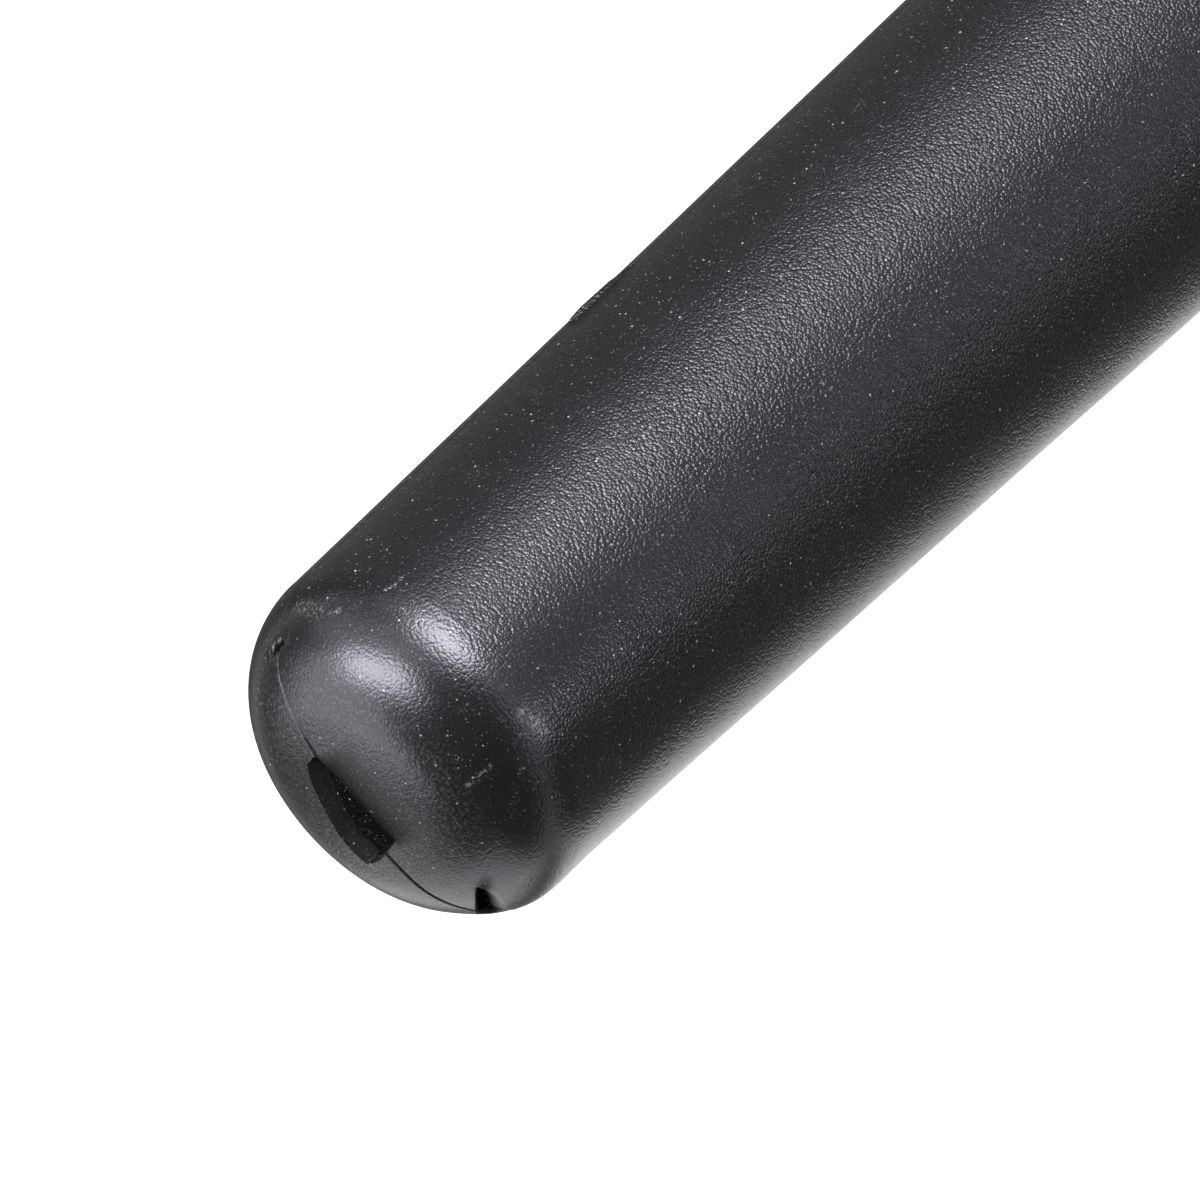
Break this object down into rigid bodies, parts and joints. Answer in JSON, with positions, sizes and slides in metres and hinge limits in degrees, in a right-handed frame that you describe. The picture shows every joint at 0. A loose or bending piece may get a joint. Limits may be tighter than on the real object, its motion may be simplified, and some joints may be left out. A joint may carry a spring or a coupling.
{
  "type": "car mast aerial",
  "caption": "Short tapered black rubber mast aerial for a car roof, with a rounded moulded tip, a radiating coil wound on a former inside and a threaded stud at the base.",
  "frame": {"origin": "centre of the jacket's base face, on the mast's axis", "axes": "+Z along the mast from the base face to the tip, -Z along the stud, +Y across the mould's parting plane"},
  "size_m": [0.015, 0.015, 0.189],
  "materials": {
    "jacket_rubber": "satin with a fine moulded grain",
    "former_nylon": "natural nylon, matt",
    "coil_wire": "drawn copper wire",
    "insert_brass": "turned brass",
    "solder": "dull solder",
    "stud_steel": "zinc plated steel"
  },
  "bodies": {
    "root": {"mast_jacket": "jacket_rubber", "coil_former": "former_nylon", "radiator_coil": "coil_wire", "base_insert": "insert_brass", "solder_joint": "solder", "threaded_stud": "stud_steel"}
  },
  "joints": []
}
